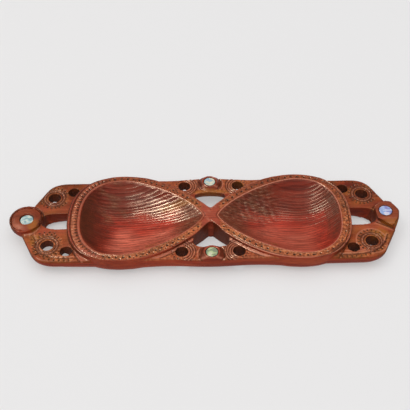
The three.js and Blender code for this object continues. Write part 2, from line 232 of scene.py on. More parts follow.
# Here x runs from the crossing to the bowl's blunt end and y from the tray's middle to the back.
# A ramp's first two numbers are the places in millimetres where a change starts and ends.
FLUTE_DEPTH = {"left": (0.32, 0.80), "right": (0.26, 0.62)}
ROW_SLOPE = {"left": 0.11, "right": 0.10}
SWING = {"left": 3, "right": 10}
SWING_FROM, SWING_OVER = 92, 45
ROUGH_FROM = {"left": 94, "right": 80}
BOWL_FLOOR_PAINTED_LIGHT = {"left": 1, "right": 0.7}
EASING = 0.5
rim_shape = {}
for side in SIGN:
    hollow = teardrop(side, **HOLLOW)
    rim = teardrop(side, end=RIM_END[side], **RIM)
    close = near_in_x(*sorted(CROSSING_X + SIGN[side] * reach for reach in RIM_REACH))
    close = close[facing[close, 2] > 0.02]
    within = inside(plan[close], hollow)
    rim_shape[side] = (close[~within], hollow, rim)
    bowl = close[within & (height[close] > 3)]
    points = plan[bowl]
    edge, _ = along_outline(points, hollow)
    x = SIGN[side] * (points[:, 0] - CROSSING_X)
    y = points[:, 1]
    shallow, deep = FLUTE_DEPTH[side]
    depth = shallow + (deep - shallow) * ramp(-10, 22, y)
    slope = ROW_SLOPE[side] * ramp(-12, 26, y)
    swing = SWING[side] * (np.clip(x - SWING_FROM, 0, None) / SWING_OVER) ** 2
    rows = (y + 0.9 * wander(points, 70, 3) + slope * x - swing) / ROW
    calm = 1 - 0.75 * ramp(22, 35, y) * ramp(48, 68, x) * ramp(126, 108, x)
    cut, crest = flutes(rows, x, depth * calm, 5)
    crest *= calm
    if side == "right":
        chipped = ramp(-2, 8, y) * ramp(84, 66, x) * ramp(14, 24, x)
        cut += chipped * 0.4 * wander(points * (0.4, 1), 3.2, 17)
        crest = np.clip(crest * (1 + 0.4 * chipped), 0, 1)
    relief[bowl] = cut * ramp(0.2, 1.6, edge) + EASING * ramp(2, 0, edge)
    # The crests between the flutes are darkened as painted shade
    wax_and_shade[bowl] = 0.62 * crest * ramp(0.2, 1.6, edge)
    finish["bowl"][bowl] = ramp(0, 1, edge)

    # Painted light and shade: the front of the floor is painted pale and rosy for light, and the
    # back wall, the left bowl's blunt end, the right bowl's half towards the tip and both tips are
    # painted deep red as painted shade, the tips also tan. Elsewhere the wood is tan in clouds.
    uneven = 5 * wander(points, 30, 19)
    cloudy = ramp(-0.2, 0.5, wander(points * (0.6, 1), 13, 23))
    tip_shade = ramp(48, 24, x)
    back_wall_shade = 0.9 * ramp(4, 22, y + uneven)
    if side == "left":
        shaded = ramp(94, 124, x + uneven)
        tan = 0.8 * cloudy * ramp(2, 14, y) * ramp(94, 106, x + uneven) * ramp(128, 118, x)
    else:
        shaded = 0.8 * ramp(66, 30, x + uneven)
        tan = (0.4 + 0.6 * cloudy) * ramp(-4, 10, y) * ramp(80, 54, x)
    pale = ramp(4, -20, y + uneven) * ramp(122, 100, x) * ramp(20, 45, x)
    finish["pale"][bowl] = BOWL_FLOOR_PAINTED_LIGHT[side] * pale
    finish["deep"][bowl] = np.maximum.reduce([back_wall_shade, shaded, 0.7 * tip_shade])
    finish["tan"][bowl] = np.maximum(tan, 0.8 * tip_shade)

    # The lacquer is thin and dull at the blunt end, behind, at the tip and on the front floor
    rough_end = 0.6 * ramp(ROUGH_FROM[side], ROUGH_FROM[side] + 16, x)
    rough_back = 0.85 * ramp(14, 26, y + uneven) * ramp(56, 74, x)
    rough_top = 0.7 * ramp(25, 36, y)
    rough_front = 0.15 + 0.2 * ramp(6, -2, y)
    if side == "left":
        rough_front = 0.8 * ramp(4, -4, y - 0.45 * np.clip(x - 34, 0, 40) + 0.4 * uneven)
    finish["dull"][bowl] = np.maximum.reduce(
        [rough_top, 0.5 * tip_shade, rough_end, rough_back, rough_front]
    )

# Rims: a border, punched all over, is sunk between two smooth ridges, with a row of dots in it.
# Round the blunt end of the left bowl a saw-toothed line is cut instead, with scallops outside it
# and a smooth ledge beyond them. inner and outer are distances from the rim's two edges.
RIM_FROM = 22
DOT_PITCH = 6.6
TOOTH_PITCH = 3.9
TEETH_AT = 3.7
LEDGE_AT = 10.5
LEDGE_DROP = 0.9
BORDER_SINK = 0.5
MARK_DEPTH = 0.9
DOT_DEPTH = 0.7
SCALLOP_RISE = 0.25


def dot_row(along, across, pitch, radius):
    offset = (along / pitch - np.floor(along / pitch) - 0.5) * pitch
    return ramp(radius, 0.45 * radius, np.hypot(offset, across))


# A dark saw-toothed line outside the hollow, and the scallops that the teeth leave, painted
# lighter as wear and painted highlight
def teeth_and_scallops(travel, inner):
    index = np.floor(travel / TOOTH_PITCH).astype(int)
    long = np.random.default_rng(51).uniform(1.4, 3.2, index.max() + 1)[index]
    offset = np.abs(travel / TOOTH_PITCH - index - 0.5) * TOOTH_PITCH
    half_tooth = 1.5 * np.clip(1 - (inner - TEETH_AT) / long, 0, 1)
    tooth = ramp(0.35, -0.35, offset - half_tooth) * ramp(TEETH_AT - 0.2, TEETH_AT + 0.3, inner)
    line = ramp(1.2, 0.3, np.abs(inner - TEETH_AT + 0.1))
    scallop = ramp(0.4, 1.3, offset) * ramp(TEETH_AT + 0.9, TEETH_AT + 2.1, inner)
    return np.maximum(tooth, line), scallop * ramp(LEDGE_AT - 0.8, LEDGE_AT - 2.2, inner)


for side in SIGN:
    close, hollow, rim = rim_shape[side]
    close = close[(height[close] > RIM_FROM) & (facing[close, 2] > 0.3)]
    close = close[inside(plan[close], rim)]
    points = plan[close]
    inner, travel = along_outline(points, hollow)
    outer, _ = along_outline(points, rim)
    x = SIGN[side] * (points[:, 0] - CROSSING_X)
    y = points[:, 1]
    blunt = ramp(108, 124, x) * (side == "left")
    neck = ramp(12, 7, x)
    border = ramp(1.2, 1.8, inner) * ramp(1.1, 1.6, outer) * (1 - neck) * (1 - blunt)
    wide = ramp(TEETH_AT, TEETH_AT + 0.6, inner) * ramp(LEDGE_AT - 0.2, LEDGE_AT - 0.8, inner)
    wide *= blunt
    relief[close] = np.maximum(relief[close], BORDER_SINK * np.maximum(border, wide))
    wobble = 0.3 * wander(points, 9, 52)
    travel_by_hand = travel + 2 * wobble
    from_middle = (inner - outer) / 2 + wobble

    # Dots keep to the border and grow faint round the right bowl's blunt end. Where the teeth
    # start and end, the two rows stay apart.
    toothed = blunt > 0.5
    faint = 3 * (1 - border) + (0.9 * ramp(96, 112, x) if side == "right" else 0)
    apart = 3 * ramp(0.25, 0.05, np.abs(blunt - 0.5))
    from_teeth = np.hypot(0.6 * (inner - TEETH_AT - 1.1 - wobble), apart)
    finish["row_along"][close] = travel_by_hand / np.where(toothed, TOOTH_PITCH, DOT_PITCH)
    finish["row_across"][close] = np.where(toothed, from_teeth, np.hypot(from_middle, faint))
    dots = dot_row(travel_by_hand, from_middle, DOT_PITCH, 1.35) * (1 - blunt)
    if side == "left":
        second = dot_row(travel + DOT_PITCH / 2, from_middle - 2.4, DOT_PITCH, 1.1)
        second *= (1 - blunt) * ramp(-20, -26, y) * ramp(22, 30, x)
    else:
        second = np.zeros(len(close))
    teeth, scallops = teeth_and_scallops(travel, inner)
    ledge_line = ramp(1.3, 0.3, np.abs(inner - LEDGE_AT)) * blunt
    tip_line = 0.6 * ramp(0.9, 0.3, np.abs(inner - 2.1)) * neck
    marks = np.maximum.reduce([second, teeth * blunt, ledge_line, tip_line])
    if side == "right":
        outer_line = ramp(0.9, 0.2, np.abs(inner - 8.4)) * ramp(100, 118, x)
        marks = np.maximum(marks, outer_line)
    inner_ridge = ramp(0.1, 0.5, inner) * ramp(1.5, 1.0, inner)
    outer_ridge = ramp(0.1, 0.4, outer) * ramp(1.5, 1.0, outer)
    if side == "left":
        inner_ridge *= 0.6 - 0.3 * blunt
        outer_ridge *= 0.3
    else:
        front_arm = ramp(18, 26, x) * ramp(84, 66, x) * ramp(0, -8, y)
        marks = np.maximum(marks, front_arm * ramp(0.9, 0.3, np.abs(outer - 1.9)))
        outer_ridge = np.maximum(outer_ridge, 1.6 * front_arm * ramp(1.3, 0.9, outer))
    relief[close] += MARK_DEPTH * marks + DOT_DEPTH * dots * (1 - neck)
    relief[close] -= SCALLOP_RISE * scallops * blunt
    relief[close] += LEDGE_DROP * ramp(LEDGE_AT - 0.1, LEDGE_AT + 3.9, inner) * blunt
    relief[close] += EASING * ramp(1.1, 0, inner)
    wax_and_shade[close] = np.maximum(wax_and_shade[close], marks * (1 - 0.4 * blunt * (inner < 9)))
    finish["border"][close] = np.maximum(border, 0.6 * wide)
    # The ridges and the scallops are painted lighter, partly as wear and partly as painted
    # highlight
    ridges = np.clip(inner_ridge + 0.6 * outer_ridge, 0, 1) * (1 - blunt)
    broad_ridge = 0.4 * blunt * ramp(0.2, 0.8, inner) * ramp(TEETH_AT - 0.6, TEETH_AT - 1.2, inner)
    finish["wear_and_highlight"][close] = np.maximum.reduce([ridges, broad_ridge, 0.35 * scallops * blunt])
    ledge = ramp(LEDGE_AT + 0.3, LEDGE_AT + 0.9, inner) * blunt
    finish["smooth"][close] = np.maximum(0.5 * ledge, neck * ramp(1.6, 2.2, inner))
    finish["deep"][close] = np.maximum(0.55 * ramp(0, 45, y), 0.6 * ledge)

# Cuts by hand on the wings, knobs and frame: V grooves, rows of punched dots and rings round the
# holes. They lie only on surfaces that a knife reaches from above, and nothing is quite regular.
CURVE_STEPS = 8
ROW_REACH = 2.6
ROW_END = 0.7


# A smooth curve through the given stops
def curve(*stops):
    stops = np.array(stops, float)
    run_in = 2 * stops[0] - stops[1]
    run_out = 2 * stops[-1] - stops[-2]
    path = np.vstack([run_in, stops, run_out])
    t = np.linspace(0, 1, CURVE_STEPS, endpoint=False)[:, None]
    parts = []
    for a, b, c, d in zip(path, path[1:], path[2:], path[3:]):
        square = 2 * a - 5 * b + 4 * c - d
        cube = 3 * b - a - 3 * c + d
        parts.append(0.5 * (2 * b + (c - a) * t + square * t**2 + cube * t**3))
    return np.vstack(parts + [stops[-1:]])


def arc(centre, radius, start, end):
    angle = np.radians(np.linspace(start, end, max(6, int(abs(end - start) / 8))))
    by_hand = radius + 0.22 * np.sin(3 * angle + radius) + 0.14 * np.sin(5 * angle + 2 * radius)
    return np.column_stack([np.cos(angle), np.sin(angle)]) * by_hand[:, None] + centre


# The points of the top that lie round a path, within the given margin
def reachable(path, margin):
    close = near_in_x(path[:, 0].min() - margin, path[:, 0].max() + margin)
    close = close[top_side[close]]
    y = plan[close, 1]
    return close[(y > path[:, 1].min() - margin) & (y < path[:, 1].max() + margin)]


def groove(path, width, depth):
    close = reachable(path, width)
    profile = ramp(width, 0, distance_to(plan[close], path))
    relief[close] += depth * profile
    wax_and_shade[close] = np.maximum(wax_and_shade[close], profile)


# A raised line; its crest is painted lighter, partly as wear and partly as painted highlight
def raised(path, width, high):
    close = reachable(path, width)
    profile = ramp(width, 0, distance_to(plan[close], path))
    relief[close] -= high * profile
    finish["wear_and_highlight"][close] = np.maximum(finish["wear_and_highlight"][close], 0.6 * profile)


# A row of dots along a path, each a little off its place. Where rows meet, the nearer one shows,
# and row_across is scaled so that a larger dot also looks larger.
def punch(path, pitch, radius, depth, seed):
    chance = np.random.default_rng(seed)
    length = np.concatenate([[0], np.cumsum(np.hypot(*np.diff(path, axis=0).T))])
    for at in np.arange(pitch / 2, length[-1], pitch):
        dot = np.array([np.interp(at, length, path[:, 0]), np.interp(at, length, path[:, 1])])
        dot += chance.normal(0, 0.22, 2)
        size = radius * chance.uniform(0.8, 1.15)
        close = reachable(dot[None], size)
        profile = ramp(size, 0.3 * size, np.hypot(*(plan[close] - dot).T))
        relief[close] += depth * profile
        wax_and_shade[close] = np.maximum(wax_and_shade[close], 0.4 * profile)
    close = reachable(path, ROW_REACH)
    across, along = along_path(plan[close], path)
    past_end = np.minimum(along, length[-1] - along) < ROW_END
    across = 1.1 * across / radius + 3 * past_end
    nearest = across < finish["row_across"][close]
    along = along / pitch + 0.07 * wander(plan[close], 9, seed)
    finish["row_along"][close[nearest]] = along[nearest]
    finish["row_across"][close[nearest]] = across[nearest]


# A band of punched border along a path
def textured(path, width, amount):
    close = reachable(path, width)
    profile = amount * ramp(width, 0.7 * width, distance_to(plan[close], path))
    finish["border"][close] = np.maximum(finish["border"][close], profile)


# Wings: the thin pierced corners at each end of the board. Rings and dots are cut round their
# large holes, rows of dots follow their edges, and a groove and a raised line the front ones.
KNOB_FOOT = 19.6
RIGHT_KNOB_FOOT = 20
WING_FROM = 125
LARGE_HOLES = {"left": -167.65, "right": 176.15}
LARGE_HOLE_Y = 34.4
WING_RINGS = {"left": (9.3, 12.3), "right": (9.0, 11.7)}
RING_TEXTURE = {"left": 0.8, "right": 0.55}
wing = top_side & (height < KNOB_FOOT) & (np.abs(plan[:, 0] - CROSSING_X) > WING_FROM)
wing &= finish["bowl"] == 0
finish["border"][wing] = 0.2
finish["tan"][wing] = np.clip(0.15 + 0.3 * wander(plan[wing], 20, 48), 0, 1)
finish["smooth"][wing] = 0.55 * ramp(24, 16, np.abs(plan[wing, 1]))
finish["deep"][wing] = 0.45 * ramp(-10, 30, plan[wing, 1])
finish["deep"][wing] += 0.5 * ramp(-0.1, 0.5, wander(plan[wing], 14, 61))
finish["dull"][wing] = 0.6
for side, hole_x in LARGE_HOLES.items():
    for edge_y in (-1, 1):
        centre = (hole_x, edge_y * LARGE_HOLE_Y)
        near_ring, far_ring = WING_RINGS[side]
        between = (near_ring + far_ring) / 2
        textured(arc(centre, 11, 0, 360), 6.5, RING_TEXTURE[side])
        for ring in WING_RINGS[side]:
            groove(arc(centre, ring, 0, 360), 1.5, 0.8)
        raised(arc(centre, between, 0, 360), 1.5, 0.4)
        punch(arc(centre, between, 0, 360), 4.3, 1.0, 0.6, 11)
        if side == "right" and edge_y == -1:
            raised(arc(centre, far_ring + 4.9, 20, 340), 1.3, 0.3)
        punch(arc(centre, far_ring + 2.8, 20, 340), 4.4, 1.45, 1.0, 12)

# Along the left end's edges. The numbers of a punched row are its pitch, the dots' radius and
# depth and its seed, and those of a groove or a raised line its half width and its depth.
LEFT_EDGE = curve((-186, -24), (-182.5, -31), (-179.5, -40), (-175, -47), (-167.5, -51.8),
                  (-158, -54.2), (-147, -54.8), (-138, -54.4))
textured(LEFT_EDGE + (2, 4), 6, 0.9)
punch(LEFT_EDGE, 5.2, 1.4, 1.0, 21)
groove(LEFT_EDGE + (1.6, 2.6), 1.0, 0.5)
raised(LEFT_EDGE + (3.0, 4.6), 1.4, 0.4)
punch(curve((-161, -48.6), (-155, -50), (-149, -50.9), (-143, -50.2)), 5.2, 1, 0.8, 22)
punch(curve((-180, -19), (-172, -16.2), (-164, -16.4), (-157.5, -20.5)), 5.4, 1, 0.8, 23)
punch(curve((-179.5, 27), (-176, 21.5), (-168, 18.6)), 5.6, 1, 0.8, 24)
groove(curve((-140.5, -41), (-137.5, -48), (-131.5, -56.5)), 1.5, 0.9)
raised(curve((-138.3, -42), (-135, -48.5), (-129, -57)), 1.4, 0.5)
LEFT_BACK_EDGE = curve((-184, 28), (-176.5, 42), (-167, 50.5), (-154, 54.2), (-138, 54.6))
punch(LEFT_BACK_EDGE, 3.4, 0.9, 0.6, 25)

# A smooth facet in front of the left bowl, and a dark one in front of the right bowl
SMOOTH_FACET = ((-138.5, -40.5), (-132.5, -56), (-107, -55.5), (-119, -50), (-129, -44.5))
DARK_FACET = ((128, -52), (136, -46), (142, -41), (146, -40.5), (141, -49), (136, -56))
on_facet = top_side & inside(plan, SMOOTH_FACET) & (finish["bowl"] == 0)
finish["smooth"][on_facet] = 1
finish["border"][on_facet] = 0
finish["wear_and_highlight"][on_facet] = 0.35
on_facet = top_side & inside(plan, DARK_FACET) & (finish["bowl"] == 0)
finish["border"][on_facet] = 0
finish["tan"][on_facet] = 1
finish["deep"][on_facet] = 0.5

# Along the right end's edges
RIGHT_EDGE = curve((140, -53.5), (158, -53.2), (171, -51), (181, -46), (189.5, -37), (194, -27))
textured(RIGHT_EDGE, 4, 0.8)
groove(RIGHT_EDGE + (0, 0.8), 1.3, 0.7)
raised(RIGHT_EDGE + (-0.6, 2.4), 1.4, 0.5)
punch(RIGHT_EDGE + (-0.8, -1.6), 5.0, 1.2, 0.9, 27)
raised(curve((146, -47.5), (156, -48.4), (166, -47.2), (172, -45)), 1.4, 0.45)
groove(curve((147, -42), (143, -49), (138, -57)), 1.5, 0.9)
groove(curve((145, 54), (150, 44), (156, 30)), 1.3, 0.6)
RIGHT_BACK_EDGE = curve((146, 54.4), (162, 54), (175, 50), (185, 42), (193, 29))
punch(RIGHT_BACK_EDGE, 4.2, 0.85, 0.6, 26)

# Knobs: left standing above the wings, to lift the tray by. The left one is rounded like a
# pebble, with a highlight painted in front. The right one has a slanting face in front of its
# disc.
LEFT_KNOB_X, LEFT_KNOB_HALF = -194.7, (17.25, 18.4)
PEBBLE_DROP = 2.4
KNOB_HIGHLIGHT_PLACE, KNOB_HIGHLIGHT_HALF = (-203, -11.5), (8, 4.5)
SLANT_DROP, BACK_DROP = 3.2, 0.9
knob = top_side & (height > KNOB_FOOT) & (plan[:, 0] < -174)
from_middle = np.hypot(*((plan[knob] - (LEFT_KNOB_X, 0)) / LEFT_KNOB_HALF).T)
relief[knob] += PEBBLE_DROP * ramp(0.55, 1.02, from_middle)
finish["smooth"][knob] = 0.2
finish["tan"][knob] = 0.7 - 0.5 * ramp(-4, -13, plan[knob, 1])
finish["dull"][knob] = 0.95 * ramp(-5, -9, plan[knob, 1])
# The knob's front is painted lighter as a painted highlight
from_knob_highlight = np.hypot(*((plan[knob] - KNOB_HIGHLIGHT_PLACE) / KNOB_HIGHLIGHT_HALF).T)
finish["wear_and_highlight"][knob] = 0.5 * ramp(1.3, 0.3, from_knob_highlight)
groove(curve((-185.5, 19), (-181, 15.5), (-176.8, 8), (-177.2, 0), (-181, -9)), 1.4, 0.6)
raised(curve((-193, -19.5), (-184.5, -17), (-179, -9.5)), 1.6, 0.7)
knob = top_side & (height > RIGHT_KNOB_FOOT) & (plan[:, 0] > 184)
relief[knob] += SLANT_DROP * ramp(-4.6, -14, plan[knob, 1])
relief[knob] += BACK_DROP * ramp(12.5, 18, plan[knob, 1])
finish["smooth"][knob] = 0.3
finish["tan"][knob] = ramp(-7, -4, plan[knob, 1])
groove(curve((184.5, -7.5), (194.5, -13.5), (202, -18.5)), 1.3, 0.7)
raised(curve((184, -9.8), (194, -15.8), (201, -20.6)), 1.3, 0.4)
groove(curve((185, 12.5), (191, 18.5), (199, 22.5)), 1.3, 0.7)
raised(curve((186.6, 10.6), (192.4, 16.4), (199.6, 20)), 1.1, 0.2)

# Frame and bosses: the lower bars in front of and behind the crossing, each with a round boss.
# Rings are cut round the side of each hole that faces the boss, and a ledge painted with a
# highlight, with a dark seam of wax and painted shade, runs along the foot of the rims in front.
BOSS_Y = 51.2
BOSS_RADIUS, BOSS_FOOT = 9.4, 12.6
BOSS_FROM = 23
FRAME_TOP = 22.6
LEDGE_HIGHLIGHT = {"left": 0.55, "right": 1.0}
FRAME_HOLES = {
    (-25.55, -47.6): ((9.4, 12.0, 14.6), (-75, 75)),
    (34.45, -47.6): ((8.4, 10.9, 13.4, 15.8), (105, 255)),
    (-22.95, 47.6): ((9.2, 11.8, 14.4), (-75, 75)),
    (37.05, 47.6): ((8.4, 10.9, 13.6), (105, 255)),
}
low_top = top_side & (height < FRAME_TOP)
frame_top = low_top & (np.abs(plan[:, 0] - CROSSING_X) < 70) & (np.abs(plan[:, 1]) > 35)
finish["border"][frame_top] = 0.6
for side, light in LEDGE_HIGHLIGHT.items():
    _, _, rim = rim_shape[side]
    close = np.flatnonzero(low_top & (plan[:, 1] < -22) & (plan[:, 1] > -56))
    x = SIGN[side] * (plan[close, 0] - CROSSING_X)
    close = close[(x > 16) & (x < 82)]
    close = close[~inside(plan[close], rim)]
    beside, _ = along_outline(plan[close], rim)
    ledge = ramp(0.2, 0.7, beside) * ramp(3.2, 2.5, beside)
    seam = ramp(0.8, 0.2, np.abs(beside - 3.8))
    # The ledge is painted lighter as a painted highlight, and the seam darker as wax and painted
    # shade
    relief[close] += 0.6 * seam - 0.35 * ledge
    wax_and_shade[close] = np.maximum(wax_and_shade[close], 0.9 * seam)
    finish["wear_and_highlight"][close] = np.maximum(finish["wear_and_highlight"][close], light * ledge)
    finish["border"][close] *= 1 - ledge
for centre, (rings, (start, end)) in FRAME_HOLES.items():
    for ring in rings:
        groove(arc(centre, ring, start, end), 1.25, 0.75)
        raised(arc(centre, ring - 1.3, start, end), 1.1, 0.3)
    punch(arc(centre, rings[0] + 0.4, end + 25, start + 335), 3.8, 1.1, 0.7, 31)
for edge_y in (-1, 1):
    boss_centre = (CROSSING_X, edge_y * BOSS_Y)
    groove(curve((5.2, edge_y * 8.4), (6.3, edge_y * 8.4)), 1.3, 0.5)
    groove(curve((-3.6, edge_y * 44), (-5.5, edge_y * 50), (-8, edge_y * 57)), 1.3, 0.7)
    groove(curve((15, edge_y * 43.5), (18.5, edge_y * 50), (19, edge_y * 57)), 1.3, 0.7)
    from_boss = np.hypot(*(plan - boss_centre).T)
    boss = top_side & (from_boss < BOSS_RADIUS) & (height > BOSS_FROM)
    finish["smooth"][boss] = 0.7
    foot = top_side & (from_boss < BOSS_FOOT) & ~boss
    finish["border"][foot] = 0
    finish["deep"][foot] = 0.5
    for start, end in ((140, 235), (-55, 40)):
        groove(arc(boss_centre, 13.4, edge_y * -start, edge_y * -end), 1.2, 0.6)
        raised(arc(boss_centre, 14.8, edge_y * -start, edge_y * -end), 1.1, 0.3)
    for lip_x in (-8, 8):
        lip = np.array(((lip_x - 2.5, -6.6), (lip_x + 2.5, -6.6)))
        raised(lip + boss_centre, 2.0, 0.1)

# Places where the lacquer lies thick and golden, each with its middle and its half sizes
GOLD_PATCHES = {
    "back opening": ((5.75, 38.5), (19, 3.5)),
    "right hole of the back frame": ((37.05, 47.6), (7.2, 7.6)),
    "left wing beside the knob": ((-181.5, -23), (4.5, 4.5)),
    "left wing's front edge": ((-184, -30), (3, 6)),
    "left knob's side": ((-185, -9), (6, 8)),
    "right knob's slanting face": ((199, -12), (12, 6)),
    "left bowl's back wall": ((-32, 20), (20, 5)),
    "right wing beside the knob": ((186, -24), (10, 7)),
}
gold = wing * np.clip(0.2 + 0.3 * wander(plan, 24, 46), 0, 1)
for middle, half_size in GOLD_PATCHES.values():
    from_patch = np.hypot(*((plan - middle) / half_size).T)
    gold = np.maximum(gold, ramp(1.3, 0.5, from_patch + 0.25 * wander(plan, 6, 45)))

# Last marks: the whole board is a little uneven, its borders are stippled, and the sloping
# edges of the wings and the frame are darkened as painted shade. End grain, which takes up more
# stain, shows where a face looks along X.
hewn = 0.10 * wander(plan, 23, 41) + 0.05 * wander(plan, 9, 42)
stipple = 0.16 * wander(plan, 2.3, 43) * wander(plan, 3.1, 44)
relief += hewn * ramp(0.2, 0.6, facing[:, 2]) + stipple * finish["border"] * top_side
finish["end_grain"] = ramp(0.40, 0.66, np.abs(facing[:, 0]))
# Painted shade on the faces that slope down at the edges of the wings and the frame
edges = ramp(0.90, 0.70, facing[:, 2]) * ramp(0.25, 0.45, facing[:, 2]) * (height > 14)
wax_and_shade = np.maximum(wax_and_shade, 0.4 * edges * (finish["bowl"] == 0) * (height < 21.4))

# The walls of the drilled holes are painted darker and tan as painted shade
SMALL_HOLES = {"left": -146.95, "right": 155.45}
SMALL_HOLE_Y = 42.8
DRILLED_REACH = 8
drilled = [(x, sign * LARGE_HOLE_Y) for x in LARGE_HOLES.values() for sign in (-1, 1)]
drilled += [(x, sign * SMALL_HOLE_Y) for x in SMALL_HOLES.values() for sign in (-1, 1)]
for x, y in drilled + list(FRAME_HOLES):
    close = near_in_x(x - DRILLED_REACH, x + DRILLED_REACH)
    from_hole = np.hypot(*(plan[close] - (x, y)).T)
    close = close[(from_hole < DRILLED_REACH) & (facing[close, 2] < 0.4)]
    finish["tan"][close] = 1
    wax_and_shade[close] = np.maximum(wax_and_shade[close], 0.45)

# The lacquer is glossiest in the bowls and on smooth, worn and highlighted places, and dull over
# the wax and painted shade, where it is thin, and on upright walls
finish["wax_and_shade"] = np.clip(wax_and_shade, 0, 1)
finish["gold"] = gold * (height > 6)
finish["gloss"] = 0.12 + 0.8 * finish["bowl"] + 0.34 * finish["border"]
finish["gloss"] += 0.5 * np.maximum(finish["smooth"], finish["wear_and_highlight"])
finish["gloss"] = np.clip(finish["gloss"], 0, 0.95) * (1 - 0.8 * finish["wax_and_shade"])
finish["gloss"] *= 1 - finish.pop("dull")
finish["gloss"] *= 1 - 0.8 * ramp(0.3, 0.05, facing[:, 2]) * (finish["bowl"] == 0)

# Now the cuts are made, and the finishes go onto the mesh for the wood's material to read
carved = (place - facing * relief[:, None]) * MM
board.data.vertices.foreach_set("co", carved.astype(np.float32).ravel())
board.data.update()
for name, values in finish.items():
    layer = board.data.attributes.new(name, "FLOAT", "POINT")
    layer.data.foreach_set("value", values.astype(np.float32))
MOST_TRIANGLES = 190000
triangles = sum(len(face.vertices) - 2 for face in board.data.polygons)
if triangles > MOST_TRIANGLES:
    apply_modifier(board, "DECIMATE", ratio=MOST_TRIANGLES / triangles)


def material(name):
    made = bpy.data.materials.new(name)
    made.use_nodes = True
    return made, made.node_tree.nodes, made.node_tree.links


# Lacquered wood: reddish brown with darker fibres along X, redder in the bowls, more orange in the
# punched borders, with dark wax and painted shade in the cuts, painted light and shade in the
# bowls, painted highlights on ridges and a gloss coat over all. A noise's scale is in waves per
# metre along
# X, Y and Z.
wood, nodes, links = material("lacquered_wood")
shader = nodes["Principled BSDF"]
shader.inputs["Roughness"].default_value = 0.5
shader.inputs["Specular IOR Level"].default_value = 0.1
shader.inputs["Coat Roughness"].default_value = 0.21
shader.inputs["Coat IOR"].default_value = 1.6
where = nodes.new("ShaderNodeTexCoord")


def stretched_noise(scale, detail, distortion=0.0):
    mapping = nodes.new("ShaderNodeMapping")
    mapping.inputs["Scale"].default_value = scale
    links.new(where.outputs["Object"], mapping.inputs["Vector"])
    noise = nodes.new("ShaderNodeTexNoise")
    noise.inputs["Scale"].default_value = 1
    noise.inputs["Detail"].default_value = detail
    noise.inputs["Distortion"].default_value = distortion
    links.new(mapping.outputs["Vector"], noise.inputs["Vector"])
    return noise.outputs["Fac"]


def shades(factor, *stops):
    ramp_node = nodes.new("ShaderNodeValToRGB")
    band = ramp_node.color_ramp
    while len(band.elements) < len(stops):
        band.elements.new(0.5)
    for element, (at, colour) in zip(band.elements, stops):
        element.position = at
        element.color = (*colour, 1)
    links.new(factor, ramp_node.inputs["Fac"])
    return ramp_node.outputs["Color"]


def blend(factor, first, second):
    mix = nodes.new("ShaderNodeMix")
    mix.data_type = "RGBA"
    if isinstance(factor, float):
        mix.inputs[0].default_value = factor
    else:
        links.new(factor, mix.inputs[0])
    for socket, value in ((mix.inputs[6], first), (mix.inputs[7], second)):
        if isinstance(value, tuple):
            socket.default_value = (*value, 1)
        else:
            links.new(value, socket)
    return mix.outputs[2]


def attribute(name):
    reader = nodes.new("ShaderNodeAttribute")
    reader.attribute_name = name
    return reader.outputs["Fac"]


def arithmetic(operation, first, second=0.0):
    node = nodes.new("ShaderNodeMath")
    node.operation = operation
    links.new(first, node.inputs[0])
    if isinstance(second, float):
        node.inputs[1].default_value = second
    else:
        links.new(second, node.inputs[1])
    return node.outputs[0]


# Small round marks of the punch, about 2.3 mm apart, drawn out in height
def punched(marks_per_metre):
    mapping = nodes.new("ShaderNodeMapping")
    mapping.inputs["Scale"].default_value = (marks_per_metre, marks_per_metre, marks_per_metre / 4)
    links.new(where.outputs["Object"], mapping.inputs["Vector"])
    marks = nodes.new("ShaderNodeTexVoronoi")
    marks.inputs["Scale"].default_value = 1
    links.new(mapping.outputs["Vector"], marks.inputs["Vector"])
    return marks.outputs["Distance"]


grain = stretched_noise((9, 120, 120), 6, 0.6)
fibre = stretched_noise((45, 1100, 1100), 4)
patches = stretched_noise((14, 30, 30), 3)
weathered = stretched_noise((70, 110, 110), 4, 1.0)
strokes = stretched_noise((30, 420, 200), 2, 0.6)
flecks = stretched_noise((110, 700, 400), 3, 0.8)
punch_marks = punched(430)

# Each tone of the wood goes from its dark grain to its pale grain
BLACK, WHITE = (0, 0, 0), (1, 1, 1)
GRAIN_STEPS = (0.3, 0.5, 0.72)
WOOD_TONES = {
    "plain": ((0.20, 0.020, 0.006), (0.36, 0.043, 0.013), (0.46, 0.080, 0.026)),
    "red": ((0.36, 0.022, 0.009), (0.60, 0.040, 0.018), (0.68, 0.070, 0.032)),
    "rosy_painted_light": ((0.56, 0.105, 0.060), (0.76, 0.165, 0.098), (0.86, 0.24, 0.15)),
    "dark red": ((0.11, 0.010, 0.004), (0.19, 0.020, 0.008), (0.26, 0.036, 0.014)),
    "orange": ((0.36, 0.062, 0.014), (0.54, 0.11, 0.030), (0.70, 0.20, 0.065)),
}
tone = {name: shades(grain, *zip(GRAIN_STEPS, colours)) for name, colours in WOOD_TONES.items()}
tone["salmon"] = shades(grain, (0.3, (0.34, 0.048, 0.020)), (0.6, (0.50, 0.085, 0.040)))
olive = blend(0.6, tone["orange"], (0.17, 0.075, 0.020))
lit = blend(0.45, tone["orange"], (0.90, 0.36, 0.14))
mottled = blend(shades(weathered, (0.42, BLACK), (0.62, WHITE)), tone["orange"], olive)
mottled = blend(shades(punch_marks, (0.50, BLACK), (0.75, WHITE)), mottled, lit)
# pale paints light onto the bowls' floors; deep paints shade in the bowls and is a darker tone
# elsewhere
colour = blend(attribute("bowl"), tone["plain"], tone["red"])
colour = blend(attribute("pale"), colour, tone["rosy_painted_light"])
colour = blend(attribute("border"), colour, mottled)
colour = blend(attribute("deep"), colour, tone["dark red"])
colour = blend(attribute("tan"), colour, blend(0.55, colour, (0.15, 0.065, 0.024)))
colour = blend(attribute("smooth"), colour, tone["salmon"])

